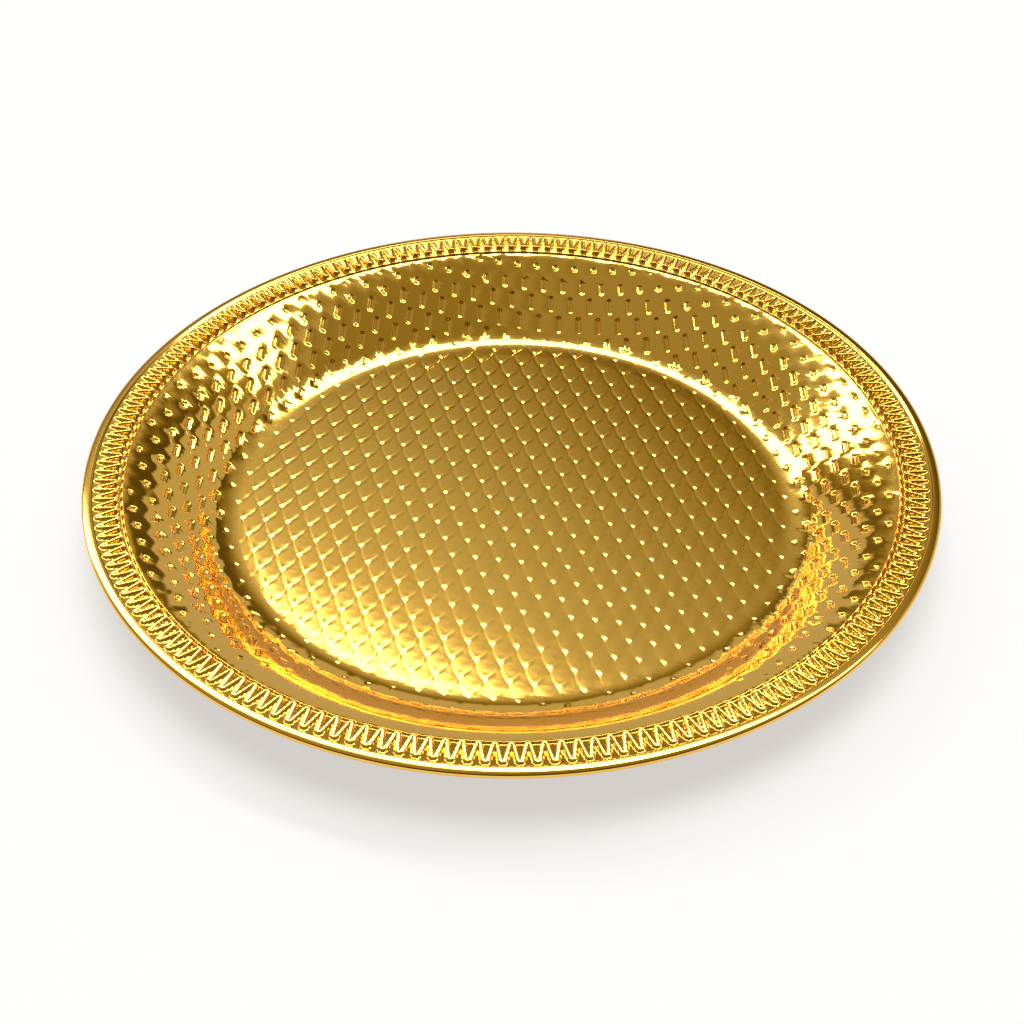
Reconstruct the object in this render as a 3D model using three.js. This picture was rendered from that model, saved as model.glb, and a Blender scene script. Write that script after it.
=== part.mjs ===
// Round hammered snack tray: a pressed sheet dish, a gadroon border on its flange and a wire in its turned edge.
// Millimetres, +Z up. The origin is the centre of the flat underside that the tray stands on.

import * as THREE from "three";

// Overall sizes
const OUTER_DIAMETER = 250;
const RIM_HEIGHT = 19;

// Sheet of the dish
const SHEET = 0.5;
const WALL_RUN = 28.9;
const FLOOR_EDGE_RADIUS = 18;
const FLOOR_EDGE_DEGREES = 20.5;
const CREASE_RADIUS = 2;
const WALL_FOOT_DEGREES = 46;
const FLANGE_DEGREES = 13;

// Turned edge and the wire inside it
const WIRE_DIAMETER = 0.5;
const WIRE_CLEARANCE = 0.3;
const TURN_END_DEGREES = -270;

// Border on the flange, sizes along and square to the flange
const BORDER_WIDTH = 9.9;
const BORDER_INNER_MARGIN = 3;
const BORDER_OUTER_MARGIN = 1.1;
const SEAT_GAP = 0.3;
const BEAD_WIDTH = 1.1;
const BEAD_HEIGHT = 0.6;
const BEAD_VALLEY = 0.3;
const RIDGE_HEIGHT = 2;
const RIDGE_CREST = 2.4;
const GROOVE_HEIGHT = 0.8;
const GROOVE_CREST = 7.4;
const LOBE_PITCH = 4.2;
const SWELL_POWER = 1.7;

// Facets
const RING_STEPS = 88;
const FLOOR_EDGE_STEPS = 3;
const CREASE_STEPS = 2;
const WALL_STEPS = 6;
const LIP_STEPS = 9;
const WIRE_SIDES = 6;
const LOBE_RISE_STEPS = 3;
const LOBE_FALL_STEPS = 3;

// Places that follow from the sizes
const radians = THREE.MathUtils.degToRad;
const floorEdgeAngle = radians(FLOOR_EDGE_DEGREES);
const footAngle = radians(WALL_FOOT_DEGREES);
const flangeAngle = radians(FLANGE_DEGREES);
const lipRadius = WIRE_DIAMETER / 2 + WIRE_CLEARANCE + SHEET;
const lipCentre = new THREE.Vector2(OUTER_DIAMETER / 2 - lipRadius, RIM_HEIGHT - lipRadius);
const flangeAlong = new THREE.Vector2(Math.cos(flangeAngle), Math.sin(flangeAngle));
const flangeNormal = new THREE.Vector2(-Math.sin(flangeAngle), Math.cos(flangeAngle));
const flangeWidth = BORDER_INNER_MARGIN + BORDER_WIDTH + BORDER_OUTER_MARGIN;
const flangeOuter = lipCentre.clone().addScaledVector(flangeNormal, lipRadius);
const flangeInner = flangeOuter.clone().addScaledVector(flangeAlong, -flangeWidth);
const floorRadius = flangeInner.x - WALL_RUN;

// Upper face of the sheet from the axis to the end of the turned edge, as point and heading
function sheetPath() {
  const path = [];
  const put = (r, z, heading) => path.push({ r, z, heading });
  const bend = (radius, from, to, steps) => {
    const start = path[path.length - 1];
    for (let i = 1; i <= steps; i++) {
      const heading = from + ((to - from) * i) / steps;
      put(start.r + radius * (Math.sin(heading) - Math.sin(from)),
        start.z + radius * (Math.cos(from) - Math.cos(heading)), heading);
    }
  };
  put(0, SHEET, 0);
  put(floorRadius, SHEET, 0);
  bend(FLOOR_EDGE_RADIUS, 0, floorEdgeAngle, FLOOR_EDGE_STEPS);
  bend(CREASE_RADIUS, floorEdgeAngle, footAngle, CREASE_STEPS);
  const foot = path[path.length - 1];
  const chord = Math.hypot(flangeInner.x - foot.r, flangeInner.y - foot.z);
  const startR = chord * Math.cos(footAngle);
  const startZ = chord * Math.sin(footAngle);
  const endR = chord * flangeAlong.x;
  const endZ = chord * flangeAlong.y;
  for (let i = 1; i <= WALL_STEPS; i++) {
    const t = i / WALL_STEPS;
    const h00 = 2 * t ** 3 - 3 * t ** 2 + 1;
    const h10 = t ** 3 - 2 * t ** 2 + t;
    const h01 = -2 * t ** 3 + 3 * t ** 2;
    const h11 = t ** 3 - t ** 2;
    const d00 = 6 * t ** 2 - 6 * t;
    const d10 = 3 * t ** 2 - 4 * t + 1;
    const d11 = 3 * t ** 2 - 2 * t;
    const r = h00 * foot.r + h10 * startR + h01 * flangeInner.x + h11 * endR;
    const z = h00 * foot.z + h10 * startZ + h01 * flangeInner.y + h11 * endZ;
    const dr = d00 * (foot.r - flangeInner.x) + d10 * startR + d11 * endR;
    const dz = d00 * (foot.z - flangeInner.y) + d10 * startZ + d11 * endZ;
    put(r, z, Math.atan2(dz, dr));
  }
  put(flangeOuter.x, flangeOuter.y, flangeAngle);
  for (let i = 0; i <= LIP_STEPS; i++) {
    const heading = (radians(TURN_END_DEGREES) * i) / LIP_STEPS;
    put(lipCentre.x - lipRadius * Math.sin(heading), lipCentre.y + lipRadius * Math.cos(heading), heading);
  }
  return path;
}

// Pressed dish: the lower face outwards, round the cut end of the turned edge, then the upper face inwards
function dishGeometry() {
  const path = sheetPath();
  const lower = path.map(({ r, z, heading }) =>
    new THREE.Vector2(r + SHEET * Math.sin(heading), z - SHEET * Math.cos(heading)));
  const upper = path.map(({ r, z }) => new THREE.Vector2(r, z));
  const geometry = new THREE.LatheGeometry([...lower, ...upper.reverse()], RING_STEPS);
  return geometry.rotateX(Math.PI / 2);
}

// Wire: a ring of round section in the middle of the turned edge
function wireGeometry() {
  const points = [];
  for (let i = 0; i <= WIRE_SIDES; i++) {
    const angle = (2 * Math.PI * (i % WIRE_SIDES)) / WIRE_SIDES;
    points.push(new THREE.Vector2(
      lipCentre.x + (WIRE_DIAMETER / 2) * Math.cos(angle),
      lipCentre.y + (WIRE_DIAMETER / 2) * Math.sin(angle)));
  }
  return new THREE.LatheGeometry(points, RING_STEPS).rotateX(Math.PI / 2);
}

// One side of a lobe at a share of the way from its crest to its end, as shares of its length and its height.
// A round side is a quarter round, the other one a long gentle slope.
function lobeSide(share, round) {
  const angle = (Math.PI / 2) * share;
  return round ? [Math.sin(angle), Math.cos(angle)] : [share, 1 - share ** SWELL_POWER];
}

// Section of the border, as distance along the flange and height over its seat: a bead, then a lobe that is round
// on the side where its crest is near the end and gentle on the other
function borderSection(crest, height) {
  const section = [[0, 0], [BEAD_WIDTH / 2, BEAD_HEIGHT], [BEAD_WIDTH, BEAD_VALLEY]];
  const crestInside = crest < BORDER_WIDTH / 2;
  for (let i = LOBE_RISE_STEPS - 1; i >= 0; i--) {
    const [length, rise] = lobeSide(i / LOBE_RISE_STEPS, crestInside);
    section.push([crest - (crest - BEAD_WIDTH) * length, BEAD_VALLEY + (height - BEAD_VALLEY) * rise]);
  }
  for (let i = 1; i <= LOBE_FALL_STEPS; i++) {
    const [length, rise] = lobeSide(i / LOBE_FALL_STEPS, !crestInside);
    section.push([crest + (BORDER_WIDTH - crest) * length, height * rise]);
  }
  return section;
}

// Border: ridge and groove sections by turns around the ring, joined into one closed band
function borderGeometry() {
  const seat = flangeInner.clone()
    .addScaledVector(flangeAlong, BORDER_INNER_MARGIN)
    .addScaledVector(flangeNormal, SEAT_GAP);
  const middleRadius = seat.x + (BORDER_WIDTH / 2) * flangeAlong.x;
  const lobes = Math.round((2 * Math.PI * middleRadius) / LOBE_PITCH);
  const stations = 2 * lobes;
  const ridge = borderSection(RIDGE_CREST, RIDGE_HEIGHT);
  const groove = borderSection(GROOVE_CREST, GROOVE_HEIGHT);
  const count = ridge.length;
  const positions = [];
  const triangles = [];
  for (let j = 0; j < stations; j++) {
    const angle = (2 * Math.PI * j) / stations;
    for (const [along, height] of j % 2 === 0 ? ridge : groove) {
      const r = seat.x + along * flangeAlong.x + height * flangeNormal.x;
      const z = seat.y + along * flangeAlong.y + height * flangeNormal.y;
      positions.push(r * Math.cos(angle), r * Math.sin(angle), z);
    }
    const here = j * count;
    const next = ((j + 1) % stations) * count;
    for (let i = 0; i < count; i++) {
      const k = (i + 1) % count;
      triangles.push(here + i, here + k, next + k, here + i, next + k, next + i);
    }
  }
  const geometry = new THREE.BufferGeometry();
  geometry.setAttribute("position", new THREE.Float32BufferAttribute(positions, 3));
  geometry.setIndex(triangles);
  geometry.computeVertexNormals();
  return geometry;
}

// One named mesh with a material of its own
function piece(name, geometry, color, roughness) {
  const material = new THREE.MeshStandardMaterial({ color, roughness, metalness: 1 });
  const mesh = new THREE.Mesh(geometry, material);
  mesh.name = name;
  return mesh;
}

const tray = new THREE.Group();
tray.add(piece("dish", dishGeometry(), 0xe0ab45, 0.12));
tray.add(piece("gadroon_border", borderGeometry(), 0xe3b04c, 0.12));
tray.add(piece("rim_wire", wireGeometry(), 0xb98d3e, 0.35));

export default tray;
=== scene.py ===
import math
from functools import partial

import bpy
import numpy as np
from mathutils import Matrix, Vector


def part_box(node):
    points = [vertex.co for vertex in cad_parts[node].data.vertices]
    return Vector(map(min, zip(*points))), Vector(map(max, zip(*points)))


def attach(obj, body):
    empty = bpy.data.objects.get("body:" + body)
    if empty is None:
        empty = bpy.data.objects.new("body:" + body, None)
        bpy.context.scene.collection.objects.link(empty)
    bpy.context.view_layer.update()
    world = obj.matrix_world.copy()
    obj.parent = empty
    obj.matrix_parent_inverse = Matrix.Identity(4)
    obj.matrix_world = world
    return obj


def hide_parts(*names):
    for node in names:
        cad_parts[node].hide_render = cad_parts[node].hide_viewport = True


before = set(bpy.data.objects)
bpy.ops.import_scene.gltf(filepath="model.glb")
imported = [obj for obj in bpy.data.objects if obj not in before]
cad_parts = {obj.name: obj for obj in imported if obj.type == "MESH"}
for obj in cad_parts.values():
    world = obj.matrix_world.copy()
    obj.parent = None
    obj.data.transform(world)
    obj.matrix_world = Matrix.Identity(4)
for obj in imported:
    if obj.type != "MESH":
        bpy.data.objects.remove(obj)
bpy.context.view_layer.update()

# Sizes in metres, with the outer radius and the rim height taken from the dish in model.glb
MM = 0.001
dish_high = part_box("dish")[1]
OUTER_RADIUS = dish_high.x
RIM_HEIGHT = dish_high.z

# Section of the sheet, from the flat floor over the flared wall, flange and level land to the turned lip
SHEET = 0.5 * MM
FLOOR_RADIUS = 81.2 * MM
FLOOR_EDGE_RADIUS = 18 * MM
FLOOR_EDGE = math.radians(23)
CREASE_RADIUS = 4 * MM
WALL_FOOT = math.radians(46)
WALL_HEAD = math.radians(20)
HEAD_RADIUS = 8 * MM
FLANGE_ANGLE = math.radians(7)
FLANGE_WIDTH = 9.0 * MM
RISE_ANGLE = math.radians(38)
RISE_RADIUS = 1.3 * MM
CROWN_RADIUS = 0.5 * MM
LAND_START = math.radians(1)
LAND_END = math.radians(-6)
LAND_RADIUS = 11.5 * MM
LIP_RADIUS = 1.05 * MM
TURN_END = math.radians(-270)

# Hammer marks, a slanted grid of blows on the flat sheet. On the floor each is a small step down towards the
# front that runs out in a widening fan on both sides. On the wall each is a long deep slot in a shallow dish.
MARK_ROW = np.array([6.704, -1.053]) * MM
MARK_STEP = np.array([2.371, -7.40]) * MM
MARK_ORIGIN = np.array([-2.432, 9.34]) * MM
MARK_POWER = 4
FLOOR_MARK_DEPTH = 0.1 * MM
FLOOR_MARK_WIDTH = 0.64 * MM
FLOOR_MARK_RAMP = 6.5 * MM
FLOOR_MARK_STEEP = 0.76 * MM
FLOOR_MARK_LEAN = math.radians(20)
FLOOR_FAN_WIDTH = 0.6 * MM
UNDERSIDE_BLEND = 6 * MM
WALL_MARK_DEPTH = 0.52 * MM
WALL_MARK_WIDTH = 0.8 * MM
WALL_MARK_RAMP = 1.3 * MM
WALL_MARK_STEEP = 0.8 * MM
WALL_DISH_DEPTH = 0.19 * MM
WALL_DISH_RADIUS = 2.6 * MM
SLOT_LENGTH = 2.0 * MM
SLOT_LENGTH_TOP = 0.3 * MM
WALL_MARKS_FROM = 83.5 * MM
WALL_MARKS_FULL = 91 * MM
SLOTS_SHORTEN_FROM = 104 * MM
SLOTS_SHORT = 112 * MM
MARK_FADE_START = 115.6 * MM
MARK_FADE_END = 117.2 * MM
FRONT_MARKS = 0.03
FRONT_FADE = (math.radians(30), math.radians(58))

# Faint lines from mark to mark on the floor, deeper towards the back
LINE_DEPTH = 0.011 * MM
LINE_WIDTH = 0.95 * MM
LINE_SHARES = (0.6, 1.5)
LINE_CURVE = 0.13
LINE_BACK = 5.5
LINE_BACK_RANGE = (-45 * MM, 75 * MM)
LINE_FADE = 4 * MM

# Fineness of the meshes
PATH_STEPS = 240
CELL_STEPS = 4
CELL_STEPS_BELOW = 3
CELL_CROWDING = 0.4
SPARE_CELLS = 4
FINE_LEVELS = 2
FINE_ACROSS = 1.1 * MM
FINE_BEFORE_FLOOR = 0.3 * MM
FINE_BEFORE_WALL = 1.3 * MM
FINE_BEHIND = 1.1 * MM
FINE_MARGIN = 0.5 * MM
FINE_SHARE = 2 * FRONT_MARKS
SHEET_CLIP = 118.3 * MM
CLIP_MARGIN = 1.0 * MM
RING_STEPS = 288
FLANGE_STEPS = 3
SHOULDER_STEPS = 13
LIP_STEPS = 12
NORMAL_STEP = 0.02 * MM

# Border: a bead line and a row of lobes, as distance out from the bead and height over the flange. The lobes
# are one flat-topped ridge that winds in and out, with slanting legs joined by round turns at both ends.
BORDER_START = 0.1 * MM
BEAD_WIDTH = 1.2 * MM
BEAD_HEIGHT = 0.75 * MM
BEAD_DIP = 0.2 * MM
BORDER_WIDTH = 9.2 * MM
TURN_IN = 2.85 * MM
TURN_OUT = 7.45 * MM
TURN_RADIUS = 0.55 * MM
RIDGE_HALF = 0.8 * MM
RIDGE_POWER = 4
RIDGE_HEIGHTS = (1.7 * MM, 0.65 * MM)
LOBE_FILLET = 0.1 * MM
LOBE_END = 0.3 * MM
LOBE_PITCH = 4.2 * MM
LOBE_AROUND = 14
BEAD_ALONG = 9
LOBE_ALONG = 30


def smooth_step(value, low, high):
    """Soft rise from 0 to 1 between two values."""
    share = np.clip((value - low) / (high - low), 0, 1)
    return share * share * (3 - 2 * share)


def blend(share, first, second):
    """The first value at a share of 0, the second at 1, and between them in proportion."""
    return first + (second - first) * share


def direction(heading):
    """Unit vector of a heading in the section."""
    return np.array([math.cos(heading), math.sin(heading)])


def bend(start, radius, heading_from, heading_to):
    """Points and headings of an arc of the section, turning up for a positive radius."""
    heading = np.linspace(heading_from, heading_to, PATH_STEPS)
    r = start[0] + radius * (np.sin(heading) - math.sin(heading_from))
    z = start[1] + radius * (math.cos(heading_from) - np.cos(heading))
    return np.column_stack([r, z]), heading


def wall_curve(foot, head):
    """Points and headings of the flared wall between its foot and its head."""
    chord = np.linalg.norm(head - foot)
    start_pull = chord * direction(WALL_FOOT)
    end_pull = chord * direction(WALL_HEAD)
    t = np.linspace(0, 1, PATH_STEPS)[:, None]
    points = ((2 * t ** 3 - 3 * t ** 2 + 1) * foot + (t ** 3 - 2 * t ** 2 + t) * start_pull
              + (3 * t ** 2 - 2 * t ** 3) * head + (t ** 3 - t ** 2) * end_pull)
    slope = ((6 * t ** 2 - 6 * t) * (foot - head) + (3 * t ** 2 - 4 * t + 1) * start_pull
             + (3 * t ** 2 - 2 * t) * end_pull)
    return points, np.arctan2(slope[:, 1], slope[:, 0])


def shoulder_curve(end):
    """Points and headings of the short rise and the level land beside the lip, up to an end point."""
    rise, rise_heading = bend((0, 0), RISE_RADIUS, FLANGE_ANGLE, RISE_ANGLE)
    crown, crown_heading = bend(rise[-1], -CROWN_RADIUS, RISE_ANGLE, LAND_START)
    land, land_heading = bend(crown[-1], -LAND_RADIUS, LAND_START, LAND_END)
    points = np.concatenate([rise, crown[1:], land[1:]])
    heading = np.concatenate([rise_heading, crown_heading[1:], land_heading[1:]])
    return points - points[-1] + end, heading


def sheet_path():
    """Upper face of the sheet from the axis to the end of the turned edge, with its runs and named places."""
    lip_centre = np.array([OUTER_RADIUS - LIP_RADIUS, RIM_HEIGHT - LIP_RADIUS])
    turn = np.linspace(LAND_END, TURN_END, PATH_STEPS)
    lip = lip_centre + LIP_RADIUS * np.column_stack([-np.sin(turn), np.cos(turn)])
    shoulder, shoulder_heading = shoulder_curve(lip[0])
    flange_in = shoulder[0] - FLANGE_WIDTH * direction(FLANGE_ANGLE)
    edge, edge_heading = bend((FLOOR_RADIUS, SHEET), FLOOR_EDGE_RADIUS, 0, FLOOR_EDGE)
    crease, crease_heading = bend(edge[-1], CREASE_RADIUS, FLOOR_EDGE, WALL_FOOT)
    head, head_heading = bend((0, 0), -HEAD_RADIUS, WALL_HEAD, FLANGE_ANGLE)
    head = head - head[-1] + flange_in
    wall, wall_heading = wall_curve(crease[-1], head[0])
    points = np.concatenate([[(0, SHEET)], edge, crease[1:], wall[1:], head[1:], shoulder, lip[1:]])
    heading = np.concatenate([[0], edge_heading, crease_heading[1:], wall_heading[1:], head_heading[1:],
                              shoulder_heading, turn[1:]])
    run = np.concatenate([[0], np.cumsum(np.hypot(*np.diff(points, axis=0).T))])
    lip_index = len(points) - PATH_STEPS
    rise_index = lip_index - len(shoulder) + 1
    places = {"rise": run[rise_index], "lip": run[lip_index], "end": run[-1], "flange_in": flange_in}
    return run, points[:, 0], points[:, 1], heading, places


RUN, PATH_R, PATH_Z, PATH_HEADING, PLACES = sheet_path()


def on_path(run):
    """Radius, height and heading of the upper face at a distance along the sheet."""
    return np.interp(run, RUN, PATH_R), np.interp(run, RUN, PATH_Z), np.interp(run, RUN, PATH_HEADING)


TO_CELLS = np.linalg.inv(np.column_stack([MARK_ROW, MARK_STEP]))


def run_of(points):
    """Distance along the sheet from its middle, for points of the flat sheet."""
    return np.hypot(points[:, 0], points[:, 1])


def on_wall(run):
    """Share of a wall mark rather than a floor mark."""
    return smooth_step(run, WALL_MARKS_FROM, WALL_MARKS_FULL)


def mark_places(points, run):
    """Where points of the flat sheet lie from the nearest marks, across and along each mark."""
    lean = blend(on_wall(run), FLOOR_MARK_LEAN, 0)
    axis_x, axis_y = np.sin(lean), np.cos(lean)
    cells = np.rint((points - MARK_ORIGIN) @ TO_CELLS.T)
    across, along = [], []
    for i in (-1, 0, 1):
        for j in (-1, 0, 1):
            in_rows = np.outer(cells[:, 0] + i, MARK_ROW)
            in_steps = np.outer(cells[:, 1] + j, MARK_STEP)
            apart = points - (MARK_ORIGIN + in_rows + in_steps)
            across.append(apart[:, 0] * axis_y - apart[:, 1] * axis_x)
            along.append(apart[:, 0] * axis_x + apart[:, 1] * axis_y)
    return np.array(across), np.array(along)


def slot_length(run):
    """Half the length of a mark's level part: none on the floor, most on the middle of the wall."""
    grown = SLOT_LENGTH * on_wall(run)
    return grown - (SLOT_LENGTH - SLOT_LENGTH_TOP) * smooth_step(run, SLOTS_SHORTEN_FROM, SLOTS_SHORT)


def front_share(points, run):
    """How much of the marks the wall keeps: next to none at the front, where it is worn smooth."""
    from_front = np.abs(np.arctan2(points[:, 0], -points[:, 1]))
    return 1 - (1 - FRONT_MARKS) * (1 - smooth_step(from_front, *FRONT_FADE)) * on_wall(run)


def mark_height(points):
    """Height of the hammered face over the plain sheet."""
    run = run_of(points)
    half = slot_length(run)
    across, along = mark_places(points, run)
    past = np.maximum(np.maximum(-along, along - FLOOR_MARK_STEEP), 0) / FLOOR_MARK_RAMP
    step = (np.clip(along / FLOOR_MARK_STEEP, 0, 1) - 0.5) * np.clip(1 - past, 0, 1)
    fan = FLOOR_MARK_WIDTH + FLOOR_FAN_WIDTH * np.clip(past, 0, 1)
    steps = (step * np.exp(-(across / fan) ** MARK_POWER)).sum(axis=0)
    near_end = smooth_step(along, -half - WALL_MARK_RAMP, -half)
    far_end = 1 - smooth_step(along, half, half + WALL_MARK_STEEP)
    slots = (near_end * far_end * np.exp(-(across / WALL_MARK_WIDTH) ** MARK_POWER)).max(axis=0)
    beyond_slot = np.maximum(np.abs(along) - half, 0)
    dishes = np.exp(-(across ** 2 + beyond_slot ** 2) / WALL_DISH_RADIUS ** 2).max(axis=0)
    wall_height = -WALL_MARK_DEPTH * slots - WALL_DISH_DEPTH * dishes
    height = blend(on_wall(run), FLOOR_MARK_DEPTH * steps, wall_height)
    return height * front_share(points, run) * (1 - smooth_step(run, MARK_FADE_START, MARK_FADE_END))


def sheet_face(points, lowered):
    """Points of the flat sheet carried onto the dish, on the upper face or lowered through the sheet."""
    angle = np.arctan2(points[:, 1], points[:, 0])
    radius, height, heading = on_path(run_of(points))
    offset = mark_height(points) - lowered
    radius = radius - offset * np.sin(heading)
    height = np.maximum(height + offset * np.cos(heading), 0)
    return np.column_stack([radius * np.cos(angle), radius * np.sin(angle), height])


def on_top(points):
    """No drop, for the upper face."""
    return np.zeros(len(points))


def underside_drop(points):
    """How far the lower face lies under the upper one: less under the floor, to keep it over the table."""
    floor_share = 1 - smooth_step(run_of(points), FLOOR_RADIUS, FLOOR_RADIUS + UNDERSIDE_BLEND)
    return SHEET - FLOOR_MARK_DEPTH * floor_share


def slope_normals(ahead, behind, left, right):
    """Unit normals from points a small step to either side in two directions."""
    normals = np.cross(ahead - behind, left - right)
    return normals / np.linalg.norm(normals, axis=-1)[..., None]


def face_normals(points, lowered):
    """Normals of a hammered face from small steps across it."""
    moved = []
    for step in ((NORMAL_STEP, 0), (-NORMAL_STEP, 0), (0, NORMAL_STEP), (0, -NORMAL_STEP)):
        beside = points + np.array(step)
        moved.append(sheet_face(beside, lowered(beside)))
    return slope_normals(*moved)


def marked_grid(steps):
    """Points and faces of a grid over the flat sheet, crowded towards the hammer marks and cut to a disc."""
    reach = int(SHEET_CLIP / np.linalg.norm(MARK_ROW)) + SPARE_CELLS
    t = np.arange(-reach * steps, reach * steps + 1) / steps
    crowded = t - CELL_CROWDING * np.sin(2 * math.pi * t) / (2 * math.pi)
    rows, columns = np.meshgrid(crowded, t, indexing="ij")
    points = MARK_ORIGIN + rows.reshape(-1, 1) * MARK_ROW + columns.reshape(-1, 1) * MARK_STEP
    index = np.arange(len(points)).reshape(rows.shape)
    corners = (index[:-1, :-1], index[1:, :-1], index[1:, 1:], index[:-1, 1:])
    quads = np.stack(corners, axis=-1).reshape(-1, 4)
    if np.cross(MARK_ROW, MARK_STEP) < 0:
        quads = quads[:, ::-1]
    inside = run_of(points) < SHEET_CLIP
    quads = quads[inside[quads].all(axis=1)]
    used = np.unique(quads)
    lookup = np.full(len(points), -1)
    lookup[used] = np.arange(len(used))
    return points[used], [tuple(quad) for quad in lookup[quads].tolist()]


def near_marks(points, margin):
    """Which points of the flat sheet lie on the steep part of a mark or within a margin of it."""
    run = run_of(points)
    half = slot_length(run)
    across, along = mark_places(points, run)
    before = blend(on_wall(run), FINE_BEFORE_FLOOR, FINE_BEFORE_WALL) + half + margin
    behind = half + FINE_BEHIND + margin
    close = (np.abs(across) < FINE_ACROSS + margin) & (along > -before) & (along < behind)
    return close.any(axis=0) & (run < MARK_FADE_END) & (front_share(points, run) > FINE_SHARE)


def edges_of(face):
    """The edges of a face in order, as pairs of points."""
    return zip(face, face[1:] + face[:1])


def split_near_marks(points, faces, margin):
    """The sheet with its four-sided faces near a mark cut in four, and the new points in the faces beside."""
    middles = np.array([points[list(face)].mean(axis=0) for face in faces])
    close = near_marks(middles, margin) & np.array([len(face) == 4 for face in faces])
    added = []
    halves = {}
    centres = {}
    for number in np.flatnonzero(close):
        centres[number] = len(points) + len(added)
        added.append(middles[number])
        for edge in edges_of(faces[number]):
            if frozenset(edge) not in halves:
                halves[frozenset(edge)] = len(points) + len(added)
                added.append(points[list(edge)].mean(axis=0))
    finer = []
    for number, face in enumerate(faces):
        on_edges = [halves.get(frozenset(edge)) for edge in edges_of(face)]
        if number in centres:
            finer += [(face[k], on_edges[k], centres[number], on_edges[k - 1]) for k in range(4)]
        else:
            finer.append(tuple(p for pair in zip(face, on_edges) for p in pair if p is not None))
    return np.concatenate([points, added]), finer


def boundary_loop(faces):
    """The outer edge of a sheet of faces as one ordered loop."""
    pairs = {pair for face in faces for pair in edges_of(face)}
    following = {a: b for a, b in pairs if (b, a) not in pairs}
    start = next(iter(following))
    loop = [start]
    while following[loop[-1]] != start:
        loop.append(following[loop[-1]])
    return loop


def loop_from_zero(loop, points):
    """A loop put counter-clockwise from its smallest angle, and its rising angles up to a full turn."""
    angles = np.arctan2(points[loop, 1], points[loop, 0]) % (2 * math.pi)
    area = np.cross(points[loop], np.roll(points[loop], -1, axis=0)).sum()
    if area < 0:
        loop, angles = loop[::-1], angles[::-1]
    start = int(np.argmin(angles))
    loop = list(np.roll(loop, -start))
    angles = np.maximum.accumulate(np.roll(angles, -start))
    return loop, np.append(angles, angles[0] + 2 * math.pi)


def zip_loops(inner, inner_angles, outer, outer_angles):
    """Triangles between two loops that run the same way round, joined in order of angle."""
    triangles = []
    i, j = 0, 0
    while i < len(inner) or j < len(outer):
        next_inner = inner_angles[i + 1] if i < len(inner) else math.inf
        next_outer = outer_angles[j + 1] if j < len(outer) else math.inf
        a, b = inner[i % len(inner)], outer[j % len(outer)]
        if next_inner <= next_outer:
            i += 1
            triangles.append((a, b, inner[i % len(inner)]))
        else:
            j += 1
            triangles.append((a, b, outer[j % len(outer)]))
    return triangles


def seam(faces, flat, start, ring, ring_angles):
    """Triangles from the outer edge of a hammered face, numbered from a start, to a ring of the rim."""
    loop, loop_angles = loop_from_zero(np.array(boundary_loop(faces)), flat)
    return zip_loops([int(i) + start for i in loop], loop_angles, ring, ring_angles)


def rim_rings():
    """Section of the rim and its normals: out over the flange, round the lip and back along the underside."""
    flange = np.linspace(SHEET_CLIP + CLIP_MARGIN, PLACES["rise"], FLANGE_STEPS)
    shoulder = np.linspace(PLACES["rise"], PLACES["lip"], SHOULDER_STEPS)[1:]
    lip = np.linspace(PLACES["lip"], PLACES["end"], LIP_STEPS)[1:]
    radius, height, heading = on_path(np.concatenate([flange, shoulder, lip]))
    upper = np.column_stack([radius, height])
    normal = np.column_stack([-np.sin(heading), np.cos(heading)])
    lower = upper - SHEET * normal
    return np.concatenate([upper, lower[::-1]]), np.concatenate([normal, -normal[::-1]])


def ring_points(section, angles):
    """A section of (radius, height) points turned to each angle, section by section."""
    radius = section[:, 0][None, :]
    height = np.broadcast_to(section[:, 1][None, :], (len(angles), len(section)))
    turned = (radius * np.cos(angles)[:, None], radius * np.sin(angles)[:, None], height)
    return np.stack(turned, axis=-1).reshape(-1, 3)


def ring_faces(start, stations, size, closed):
    """Four-sided faces between the neighbouring sections of a ring, with or without one that closes each."""
    faces = []
    for i in range(stations):
        here = start + i * size
        after = start + ((i + 1) % stations) * size
        for k in range(size - 1):
            faces.append((here + k, here + k + 1, after + k + 1, after + k))
        if closed:
            faces.append((here + size - 1, here, after, after + size - 1))
    return faces


def new_piece(name, points, faces, normals, material):
    """A mesh object with given vertex normals."""
    mesh = bpy.data.meshes.new(name)
    mesh.from_pydata(points.tolist(), [], faces)
    mesh.materials.append(material)
    mesh.polygons.foreach_set("use_smooth", np.ones(len(mesh.polygons), dtype=bool))
    mesh.normals_split_custom_set_from_vertices(normals.tolist())
    mesh.update()
    piece = bpy.data.objects.new(name, mesh)
    bpy.context.scene.collection.objects.link(piece)
    return piece


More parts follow.
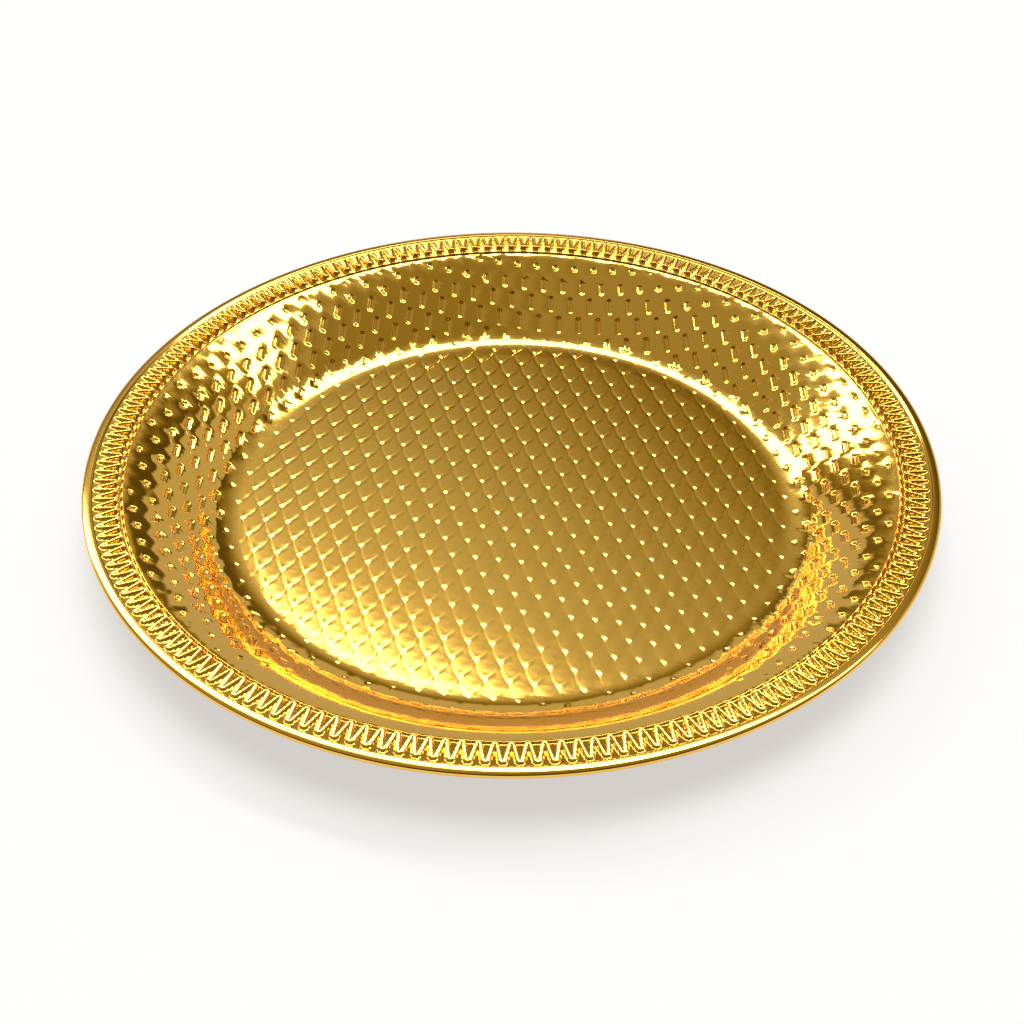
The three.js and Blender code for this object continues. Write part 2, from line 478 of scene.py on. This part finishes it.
def dish_piece(material):
    """The hammered sheet: upper grid, rim rings and lower grid, sewn into one closed skin."""
    top_flat, top_faces = marked_grid(CELL_STEPS)
    for level in range(FINE_LEVELS):
        margin = FINE_MARGIN * (FINE_LEVELS - 1 - level)
        top_flat, top_faces = split_near_marks(top_flat, top_faces, margin)
    low_flat, low_faces = marked_grid(CELL_STEPS_BELOW)
    section, section_normals = rim_rings()
    angles = np.linspace(0, 2 * math.pi, RING_STEPS, endpoint=False)
    top = sheet_face(top_flat, on_top(top_flat))
    rim = ring_points(section, angles)
    low = sheet_face(low_flat, underside_drop(low_flat))
    size = len(section)
    rim_start = len(top)
    low_start = rim_start + len(rim)
    faces = list(top_faces)
    faces += ring_faces(rim_start, RING_STEPS, size, False)
    faces += [tuple(p + low_start for p in reversed(face)) for face in low_faces]
    ring_angles = np.append(angles, 2 * math.pi)
    first_ring = [rim_start + i * size for i in range(RING_STEPS)]
    last_ring = [first + size - 1 for first in first_ring]
    faces += seam(top_faces, top_flat, 0, first_ring, ring_angles)
    faces += [face[::-1] for face in seam(low_faces, low_flat, low_start, last_ring, ring_angles)]
    top_normals = face_normals(top_flat, on_top)
    rim_normals = ring_points(section_normals, angles)
    low_normals = -face_normals(low_flat, underside_drop)
    normals = np.concatenate([top_normals, rim_normals, low_normals])
    return new_piece("dish_hammered", np.concatenate([top, rim, low]), faces, normals, material)


def border_height(along, phase):
    """Height of the border over the flange at a distance out from its inner edge and a count of lobes."""
    half_pitch = LOBE_PITCH / 2
    across = half_pitch - np.abs(phase % 1 - 0.5) * LOBE_PITCH
    outwards = along - TURN_IN
    leg_out = TURN_OUT - TURN_IN
    spacing = math.hypot(half_pitch, leg_out)
    leg_angle = math.atan2(leg_out, half_pitch) + math.asin(2 * TURN_RADIUS / spacing)
    leg_length = math.sqrt(spacing ** 2 - 4 * TURN_RADIUS ** 2)
    on_leg = across * math.cos(leg_angle) + outwards * math.sin(leg_angle)
    off_leg = across * math.sin(leg_angle) - outwards * math.cos(leg_angle)
    from_middle = np.where(on_leg < 0, np.hypot(across, outwards), off_leg)
    from_outer = np.hypot(across - half_pitch, outwards - leg_out)
    off_ridge = np.where(on_leg > leg_length, from_outer, from_middle) - TURN_RADIUS
    out = (outwards + TURN_RADIUS) / (leg_out + 2 * TURN_RADIUS)
    swell = blend(out, *RIDGE_HEIGHTS) * (1 - (np.abs(off_ridge) / RIDGE_HALF) ** RIDGE_POWER)
    lobes = (swell + np.sqrt(swell ** 2 + LOBE_FILLET ** 2)) / 2
    lobes = lobes * (1 - smooth_step(along, BORDER_WIDTH - LOBE_END, BORDER_WIDTH))
    bead_share = np.clip(along / BEAD_WIDTH, 0, 1)
    bead = (BEAD_HEIGHT - BEAD_DIP * across / half_pitch) * np.sin(math.pi * bead_share) ** 2
    return np.maximum(lobes * smooth_step(along, 0, BEAD_WIDTH), bead)


def border_face(along, angle, lobes):
    """Points of the border's upper face."""
    phase = angle * lobes / (2 * math.pi)
    height = border_height(along, phase)
    seat_r = PLACES["flange_in"][0] + (BORDER_START + along) * math.cos(FLANGE_ANGLE)
    seat_z = PLACES["flange_in"][1] + (BORDER_START + along) * math.sin(FLANGE_ANGLE)
    radius = seat_r - height * math.sin(FLANGE_ANGLE)
    z = seat_z + height * math.cos(FLANGE_ANGLE)
    return np.stack([radius * np.cos(angle), radius * np.sin(angle), z], axis=-1)


def border_piece(material):
    """The gadroon border: bead line and lobes over the flange, closed below along its seat."""
    middle = PLACES["flange_in"][0] + (BORDER_START + BORDER_WIDTH / 2) * math.cos(FLANGE_ANGLE)
    lobes = round(2 * math.pi * middle / LOBE_PITCH)
    stations = lobes * LOBE_AROUND
    bead = np.linspace(0, BEAD_WIDTH, BEAD_ALONG)
    along = np.concatenate([bead, np.linspace(BEAD_WIDTH, BORDER_WIDTH, LOBE_ALONG)[1:]])
    angle = np.linspace(0, 2 * math.pi, stations, endpoint=False)
    grid_along, grid_angle = np.meshgrid(along, angle)
    points = border_face(grid_along, grid_angle, lobes).reshape(-1, 3)
    step_round = NORMAL_STEP / OUTER_RADIUS
    moved = []
    for out, round_by in ((NORMAL_STEP, 0), (-NORMAL_STEP, 0), (0, step_round), (0, -step_round)):
        moved.append(border_face(grid_along + out, grid_angle + round_by, lobes))
    normals = slope_normals(*moved).reshape(-1, 3)
    faces = ring_faces(0, stations, len(along), True)
    return new_piece("gadroon_lobes", points, faces, normals, material)


# Materials
GOLD = (0.94, 0.545, 0.09, 1)
WIRE_BRASS = (0.48, 0.27, 0.06, 1)
DISH_ROUGHNESS = 0.07
BORDER_ROUGHNESS = 0.06
WIRE_ROUGHNESS = 0.3
WEAR_RANGE = (0.8, 1.3)
WEAR_SCALE = 60
WEAR_DETAIL = 4
GRAIN_DEPTH = 0.0012 * MM
GRAIN_SCALE = 2200
GRAIN_DETAIL = 2


def put(tree, socket, value):
    """Sets a socket to a number or links it to another socket."""
    if isinstance(value, (int, float)):
        socket.default_value = value
    else:
        tree.links.new(value, socket)


def math_node(tree, operation, *values):
    """The output of a new math node."""
    node = tree.nodes.new("ShaderNodeMath")
    node.operation = operation
    for socket, value in zip(node.inputs, values):
        put(tree, socket, value)
    return node.outputs["Value"]


def range_node(tree, value, low, high, to_low=0, to_high=1, kind="LINEAR"):
    """The output of a new map range node."""
    node = tree.nodes.new("ShaderNodeMapRange")
    node.interpolation_type = kind
    settings = {"Value": value, "From Min": low, "From Max": high, "To Min": to_low, "To Max": to_high}
    for name, setting in settings.items():
        put(tree, node.inputs[name], setting)
    return node.outputs["Result"]


def noise_node(tree, scale, detail):
    """The output of a new noise over the object's own coordinates."""
    place = tree.nodes.new("ShaderNodeTexCoord")
    node = tree.nodes.new("ShaderNodeTexNoise")
    node.inputs["Scale"].default_value = scale
    node.inputs["Detail"].default_value = detail
    tree.links.new(place.outputs["Object"], node.inputs["Vector"])
    return node.outputs["Fac"]


def gold_material(name, colour, roughness):
    """Bright gold-coloured metal with faint cloudy wear and a very fine grain."""
    material = bpy.data.materials.new(name)
    material.use_nodes = True
    tree = material.node_tree
    shader = tree.nodes["Principled BSDF"]
    shader.inputs["Metallic"].default_value = 1
    shader.inputs["Base Color"].default_value = colour
    cloud = noise_node(tree, WEAR_SCALE, WEAR_DETAIL)
    wear = range_node(tree, cloud, 0, 1, *(roughness * share for share in WEAR_RANGE))
    tree.links.new(wear, shader.inputs["Roughness"])
    fine = tree.nodes.new("ShaderNodeBump")
    fine.name = "Grain"
    fine.inputs["Distance"].default_value = GRAIN_DEPTH
    tree.links.new(noise_node(tree, GRAIN_SCALE, GRAIN_DETAIL), fine.inputs["Height"])
    tree.links.new(fine.outputs["Normal"], shader.inputs["Normal"])
    return material


def add_mark_lines(material):
    """Faint curved valley lines from mark to mark, which part the floor into scales."""
    tree = material.node_tree
    calc = partial(math_node, tree)
    place = tree.nodes.new("ShaderNodeTexCoord")
    split = tree.nodes.new("ShaderNodeSeparateXYZ")
    tree.links.new(place.outputs["Object"], split.inputs["Vector"])
    x, y = split.outputs["X"], split.outputs["Y"]
    steps = (TO_CELLS[0], TO_CELLS[0] + TO_CELLS[1])
    counts = []
    for step in steps:
        onward = calc("MULTIPLY_ADD", y, float(step[1]), float(-MARK_ORIGIN @ step))
        counts.append(calc("MULTIPLY_ADD", x, float(step[0]), onward))
    height = 0.0
    curves = (LINE_CURVE, -LINE_CURVE)
    for step, share, count, other, curve in zip(steps, LINE_SHARES, counts, reversed(counts), curves):
        swing = calc("ABSOLUTE", calc("SINE", calc("MULTIPLY", other, math.pi)))
        curved = calc("MULTIPLY_ADD", swing, curve, count)
        apart = float(1 / np.linalg.norm(step))
        off_line = calc("MULTIPLY", calc("PINGPONG", curved, 0.5), apart)
        line = range_node(tree, off_line, 0, LINE_WIDTH, kind="SMOOTHSTEP")
        height = calc("MULTIPLY_ADD", line, share, height)
    radius = calc("SQRT", calc("ADD", calc("MULTIPLY", x, x), calc("MULTIPLY", y, y)))
    floor_only = range_node(tree, radius, WALL_MARKS_FROM, FLOOR_RADIUS - LINE_FADE)
    to_back = range_node(tree, y, *LINE_BACK_RANGE, 1, LINE_BACK)
    height = calc("MULTIPLY", height, to_back)
    bump = tree.nodes.new("ShaderNodeBump")
    bump.inputs["Distance"].default_value = LINE_DEPTH
    tree.links.new(calc("MULTIPLY", height, floor_only), bump.inputs["Height"])
    tree.links.new(tree.nodes["Grain"].outputs["Normal"], bump.inputs["Normal"])
    tree.links.new(bump.outputs["Normal"], tree.nodes["Principled BSDF"].inputs["Normal"])


# Pieces
dish_gold = gold_material("dish_gold", GOLD, DISH_ROUGHNESS)
add_mark_lines(dish_gold)
dish = dish_piece(dish_gold)
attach(dish, "root")
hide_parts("dish")
border = border_piece(gold_material("border_gold", GOLD, BORDER_ROUGHNESS))
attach(border, "root")
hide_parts("gadroon_border")
wire_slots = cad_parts["rim_wire"].material_slots
wire_slots[0].material = gold_material("wire_brass", WIRE_BRASS, WIRE_ROUGHNESS)

# Floor
FLOOR_HALF = 8.0
FLOOR_ALBEDO = 0.2
FLOOR_ROUGHNESS = 0.9
FLOOR_GLOW = 0.572


def floor_material():
    """A floor that shows white to the camera and in the metal, and keeps the tray's soft shadow."""
    material = bpy.data.materials.new("floor_white")
    material.use_nodes = True
    tree = material.node_tree
    shader = tree.nodes["Principled BSDF"]
    shader.inputs["Base Color"].default_value = (FLOOR_ALBEDO, FLOOR_ALBEDO, FLOOR_ALBEDO, 1)
    shader.inputs["Roughness"].default_value = FLOOR_ROUGHNESS
    shader.inputs["Emission Color"].default_value = (1, 1, 1, 1)
    path = tree.nodes.new("ShaderNodeLightPath").outputs
    seen = math_node(tree, "MAXIMUM", path["Is Camera Ray"], path["Is Glossy Ray"])
    seen = math_node(tree, "MAXIMUM", seen, path["Is Transmission Ray"])
    glow = math_node(tree, "MULTIPLY", seen, FLOOR_GLOW)
    tree.links.new(glow, shader.inputs["Emission Strength"])
    return material


def floor_piece():
    """A wide level floor under the tray."""
    mesh = bpy.data.meshes.new("floor")
    h = FLOOR_HALF
    mesh.from_pydata([(-h, -h, 0), (h, -h, 0), (h, h, 0), (-h, h, 0)], [], [(0, 1, 2, 3)])
    mesh.materials.append(floor_material())
    floor = bpy.data.objects.new("floor", mesh)
    bpy.context.scene.collection.objects.link(floor)
    return floor


floor_piece()

# Studio light as a dome around the tray. Two angles in degrees name a direction: side runs from -90 at the
# left to 90 at the right, and turn from 0 at the back over 90 overhead to 180 at the front. One long white
# lamp lies slanted across the back, and the levels around it follow the distance from its middle line. The
# dim parts of the dome are a warm brown.
LAMP_LINE = [(-90, 28), (-53, 31), (-40, 37), (-30, 42), (-20, 46), (-8, 49.5), (0, 53), (10, 58.5),
             (20, 63.5), (30, 68), (45, 72), (90, 74)]
LAMP_SIDES = (-53, 45)
LAMP_END_SOFT = 4
LAMP_HALF = 6.5
LAMP_NARROWING = 0.015
LAMP_SOFT = 1.5
LAMP_LEVEL = 9.0
BELOW_LEVELS = [(-60, 0.12), (-29, 0.12), (-24, 0.15), (-18.8, 0.27), (-14.1, 0.42), (-8.2, 0.60),
                (0, 0.70)]
BELOW_FACTORS = [(-90, 0.55), (-20, 0.55), (-9, 1.10), (0, 1.0), (9, 0.85), (20, 0.60), (90, 0.60)]
ABOVE_LEVELS = [(0, 0.65), (10, 0.60), (16, 0.45), (22, 0.34), (130, 0.33)]
ABOVE_FACTORS = [(-90, 1.05), (-8, 1.0), (4, 0.74), (90, 0.80)]
MIDDLE_SOFT = 3
LOW_LEVEL = 0.55
LOW_EDGES = [(-90, 14), (-40, 16), (-18, 22), (-11, 16), (-4, 25), (0, 28), (4, 25), (11, 17), (21, 30),
             (40, 46), (51, 58), (90, 58)]
LOW_SOFT = 2.5
FRONT_LEVEL = 0.06
FRONT_TURNS = (122, 152)
WARM_LEVELS = (0.12, 0.50)
WARM_TINT = {"Red": 1.2, "Green": 1.0, "Blue": 0.3}
RIGHT_ANGLE = 90


def level_ramp(tree, value, stops):
    """A level that follows a value from stop to stop."""
    low, high = stops[0][0], stops[-1][0]
    share = math_node(tree, "DIVIDE", math_node(tree, "SUBTRACT", value, low), high - low)
    ramp = tree.nodes.new("ShaderNodeValToRGB")
    tree.links.new(share, ramp.inputs["Fac"])
    elements = ramp.color_ramp.elements
    while len(elements) < len(stops):
        elements.new(0.5)
    for element, (stop, level) in zip(elements, stops):
        element.position = (stop - low) / (high - low)
        element.color = (level, level, level, 1)
    return ramp.outputs["Color"]


def angle_ramp(tree, value, stops):
    """An angle up to a right angle that follows a value from stop to stop."""
    shares = [(stop, angle / RIGHT_ANGLE) for stop, angle in stops]
    return math_node(tree, "MULTIPLY", level_ramp(tree, value, shares), RIGHT_ANGLE)


def mix_nodes(tree, share, first, second):
    """The first value at a share of 0 and the second at 1."""
    kept = math_node(tree, "MULTIPLY", first, math_node(tree, "SUBTRACT", 1, share))
    return math_node(tree, "MULTIPLY_ADD", second, share, kept)


def world_light():
    """The dome and its lamp as the world's shader."""
    world = bpy.data.worlds.new("studio")
    bpy.context.scene.world = world
    world.use_nodes = True
    tree = world.node_tree
    calc = partial(math_node, tree)
    soft_edge = partial(range_node, tree, kind="SMOOTHSTEP")
    levels = partial(level_ramp, tree)
    mix = partial(mix_nodes, tree)
    place = tree.nodes.new("ShaderNodeTexCoord")
    split = tree.nodes.new("ShaderNodeSeparateXYZ")
    tree.links.new(place.outputs["Generated"], split.inputs["Vector"])
    degrees = 180 / math.pi
    side = calc("MULTIPLY", calc("ARCSINE", split.outputs["X"]), degrees)
    turn = calc("MULTIPLY", calc("ARCTAN2", split.outputs["Z"], split.outputs["Y"]), degrees)
    away = calc("SUBTRACT", turn, angle_ramp(tree, side, LAMP_LINE))
    below = calc("MULTIPLY", levels(away, BELOW_LEVELS), levels(side, BELOW_FACTORS))
    above = calc("MULTIPLY", levels(away, ABOVE_LEVELS), levels(side, ABOVE_FACTORS))
    under = calc("SUBTRACT", angle_ramp(tree, side, LOW_EDGES), turn)
    below = mix(soft_edge(under, -LOW_SOFT, LOW_SOFT), below, LOW_LEVEL)
    level = mix(soft_edge(away, -MIDDLE_SOFT, MIDDLE_SOFT), below, above)
    level = mix(soft_edge(turn, *FRONT_TURNS), level, FRONT_LEVEL)
    half = calc("MULTIPLY_ADD", calc("ABSOLUTE", side), -LAMP_NARROWING, LAMP_HALF)
    beyond = calc("SUBTRACT", calc("ABSOLUTE", away), half)
    lamp = soft_edge(beyond, LAMP_SOFT, -LAMP_SOFT)
    for end, soft in zip(LAMP_SIDES, (-LAMP_END_SOFT, LAMP_END_SOFT)):
        lamp = calc("MULTIPLY", lamp, soft_edge(side, end + soft, end - soft))
    neutral = soft_edge(level, *WARM_LEVELS)
    colour = tree.nodes.new("ShaderNodeCombineColor")
    for channel, warm in WARM_TINT.items():
        tinted = calc("MULTIPLY", level, mix(neutral, warm, 1))
        tree.links.new(calc("MULTIPLY_ADD", lamp, LAMP_LEVEL, tinted), colour.inputs[channel])
    background = tree.nodes["Background"]
    tree.links.new(colour.outputs["Color"], background.inputs["Color"])
    background.inputs["Strength"].default_value = 1


world_light()

# Soft top light for the table, not seen in the metal
TOP_STRENGTH = 3.4
TOP_ANGLE = math.radians(40)


def top_light():
    """A wide sun straight overhead."""
    data = bpy.data.lights.new("top_light", "SUN")
    data.energy = TOP_STRENGTH
    data.angle = TOP_ANGLE
    lamp = bpy.data.objects.new("top_light", data)
    lamp.visible_glossy = False
    bpy.context.scene.collection.objects.link(lamp)


top_light()

# Camera
CAMERA_PLACE = (0.0001, -0.4305, 0.3597)
CAMERA_DOWN = math.radians(40.09)
CAMERA_LENS = 65.5
CAMERA_SENSOR = 36


def camera():
    """The camera in front of the tray, looking down at it."""
    data = bpy.data.cameras.new("camera")
    data.lens = CAMERA_LENS
    data.sensor_width = CAMERA_SENSOR
    eye = bpy.data.objects.new("camera", data)
    eye.location = CAMERA_PLACE
    eye.rotation_euler = (math.pi / 2 - CAMERA_DOWN, 0, 0)
    bpy.context.scene.collection.objects.link(eye)
    bpy.context.scene.camera = eye


camera()
bpy.context.scene.view_settings.view_transform = "Standard"
